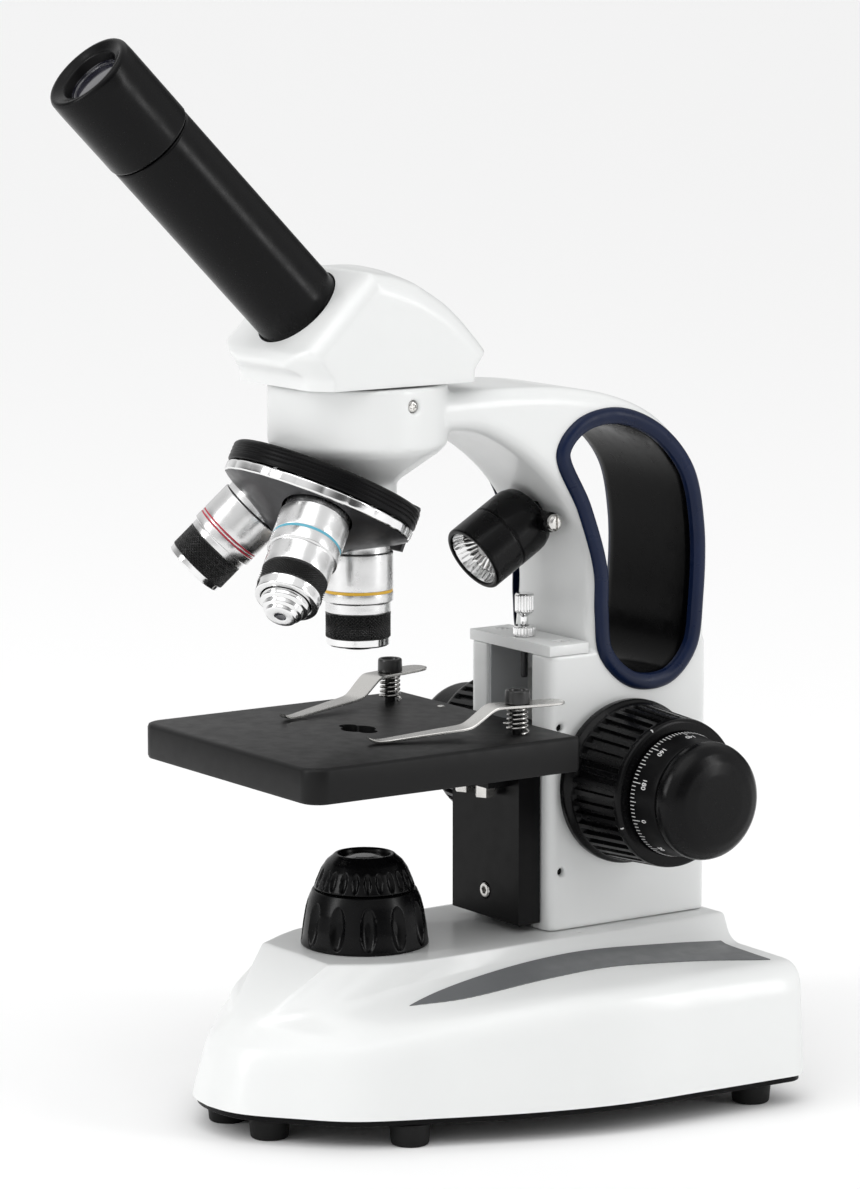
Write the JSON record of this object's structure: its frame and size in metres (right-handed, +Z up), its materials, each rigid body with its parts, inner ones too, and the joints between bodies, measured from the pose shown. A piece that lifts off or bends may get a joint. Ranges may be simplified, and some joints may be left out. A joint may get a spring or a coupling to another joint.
{
  "type": "student microscope",
  "caption": "Upright student microscope with a rotating nosepiece, tilted viewing tube, rack-focused stage with spring clips, and lamps above and below.",
  "frame": {"origin": "centre of the underside of the bounding box, on the surface the feet stand on", "axes": "+Z up, the user on the -Y side, +X to the user's right"},
  "size_m": [0.136, 0.2078, 0.3062],
  "materials": {
    "white_paint": "satin white powder paint",
    "black_gloss": "gloss black moulding",
    "black_plastic": "satin black moulding",
    "feet_rubber": "matt",
    "grey_panel": "satin grey",
    "navy_rubber": "satin",
    "black_anodised": "black anodised and painted, satin",
    "chrome": "bright",
    "steel": "brushed",
    "brass": "cut",
    "glass": "clear"
  },
  "bodies": {
    "stand": {"base_shell": "white_paint", "base_plate": "black_plastic", "foot_front_left": "feet_rubber", "foot_front_right": "feet_rubber", "foot_middle_left": "feet_rubber", "foot_middle_right": "feet_rubber", "foot_rear_left": "feet_rubber", "foot_rear_right": "feet_rubber", "inlay_left": "grey_panel", "inlay_right": "grey_panel", "power_inlet": "black_plastic", "illuminator_dome": "black_gloss", "illuminator_cap": "black_gloss", "illuminator_lens": "glass", "arm": "white_paint", "grip_sleeve": "black_gloss", "grip_rim_left": "navy_rubber", "grip_rim_right": "navy_rubber", "slide_cover": "white_paint", "cover_screw_left": "steel", "cover_screw_right": "steel", "turret_mount": "black_gloss", "lamp_bracket": "black_anodised"},
    "switch": {"switch_rocker": "black_plastic"},
    "stop_screw": {"stop_screw": "chrome"},
    "stop_nut": {"stop_nut": "chrome"},
    "stage": {"slide_bracket": "black_anodised", "rack": "brass", "stage_plate": "black_anodised", "stage_bolt_left": "steel", "stage_bolt_right": "steel", "diaphragm_screw": "steel"},
    "diaphragm": {"diaphragm_disc": "black_anodised"},
    "clip_post_left": {"clip_cap_left": "black_plastic"},
    "clip_post_right": {"clip_cap_right": "black_plastic"},
    "clip_leaf_left": {"clip_leaf_left": "steel", "clip_spring_left": "steel"},
    "clip_leaf_right": {"clip_leaf_right": "steel", "clip_spring_right": "steel"},
    "coarse_focus": {"pinion_shaft": "steel", "coarse_knob_left": "black_gloss", "coarse_knob_right": "black_gloss"},
    "fine_focus": {"fine_shaft": "steel", "fine_dial": "black_gloss", "fine_knob_left": "black_gloss", "fine_knob_right": "black_gloss"},
    "head": {"viewing_head": "white_paint", "prism": "glass", "viewing_tube": "black_anodised"},
    "eyepiece": {"eyepiece_barrel": "black_plastic", "eyepiece_lens": "glass"},
    "nosepiece": {"turret_disc": "chrome", "turret_screw": "steel", "objective_4x": "chrome", "objective_10x": "chrome", "objective_40x": "chrome"},
    "objective_nose": {"objective_40x_nose": "steel"},
    "lamp": {"lamp_body": "black_anodised", "lamp_reflector": "chrome", "lamp_screw": "steel"}
  },
  "joints": [
    {"name": "power_rocker", "type": "hinge", "parent": "stand", "child": "switch", "pos_m": [-0.03, 0.10074, 0.024], "axis": [1, 0, 0], "range_deg": [-8, 8]},
    {"name": "stop_height", "type": "slide", "parent": "stand", "child": "stop_screw", "axis": [0, 0, 1], "range_m": [-0.0035, 0.006]},
    {"name": "stop_lock", "type": "hinge", "parent": "stand", "child": "stop_nut", "pos_m": [0, 0.04894, 0.1333], "axis": [0, 0, 1], "continuous": true},
    {"name": "stage_slide", "type": "slide", "parent": "stand", "child": "stage", "axis": [0, 0, 1], "range_m": [-0.0015, 0.0145]},
    {"name": "diaphragm_turn", "type": "hinge", "parent": "stage", "child": "diaphragm", "pos_m": [-0.012, -0.0208, 0.0987], "axis": [0, 0, 1], "continuous": true},
    {"name": "coarse_turn", "type": "hinge", "parent": "stand", "child": "coarse_focus", "pos_m": [0, 0.06964, 0.0906], "axis": [1, 0, 0], "range_deg": [-150, 20]},
    {"name": "fine_turn", "type": "hinge", "parent": "coarse_focus", "child": "fine_focus", "pos_m": [0, 0.06964, 0.0906], "axis": [1, 0, 0], "continuous": true},
    {"name": "head_turn", "type": "hinge", "parent": "stand", "child": "head", "pos_m": [0, -0.00876, 0.206], "axis": [0, 0, 1], "continuous": true},
    {"name": "eyepiece_pull", "type": "slide", "parent": "head", "child": "eyepiece", "axis": [0, -0.7071, 0.7071], "range_m": [0, 0.018]},
    {"name": "nosepiece_turn", "type": "hinge", "parent": "stand", "child": "nosepiece", "pos_m": [0, -0.00876, 0.2035], "axis": [0, -0.4368, -0.8996], "continuous": true},
    {"name": "objective_retract", "type": "slide", "parent": "nosepiece", "child": "objective_nose", "axis": [-0.3783, 0.5894, 0.7138], "range_m": [0, 0.0018], "stiffness_N_per_m": 600, "springref_m": -0.0003},
    {"name": "lamp_tilt", "type": "hinge", "parent": "stand", "child": "lamp", "pos_m": [0, 0.04869, 0.16642], "axis": [1, 0, 0], "range_deg": [-7, 7]},
    {"name": "clip_swing_left", "type": "hinge", "parent": "stage", "child": "clip_post_left", "pos_m": [-0.032, 0.02364, 0.118], "axis": [0, 0, 1], "range_deg": [-60, 25]},
    {"name": "clip_press_left", "type": "hinge", "parent": "clip_post_left", "child": "clip_leaf_left", "pos_m": [-0.032, 0.02364, 0.1188], "axis": [0.9744, 0.225, 0], "range_deg": [-4, 0], "stiffness_Nm_per_rad": 0.05, "springref_deg": 4.01, "deforming": ["clip_spring_left"]},
    {"name": "clip_swing_right", "type": "hinge", "parent": "stage", "child": "clip_post_right", "pos_m": [0.032, 0.02364, 0.118], "axis": [0, 0, 1], "range_deg": [-25, 60]},
    {"name": "clip_press_right", "type": "hinge", "parent": "clip_post_right", "child": "clip_leaf_right", "pos_m": [0.032, 0.02364, 0.1188], "axis": [0.9744, -0.225, 0], "range_deg": [-4, 0], "stiffness_Nm_per_rad": 0.05, "springref_deg": 4.01, "deforming": ["clip_spring_right"]}
  ],
  "couplings": [
    {"joint": "coarse_turn", "follows": "stage_slide", "rad_per_m": -166.67}
  ]
}
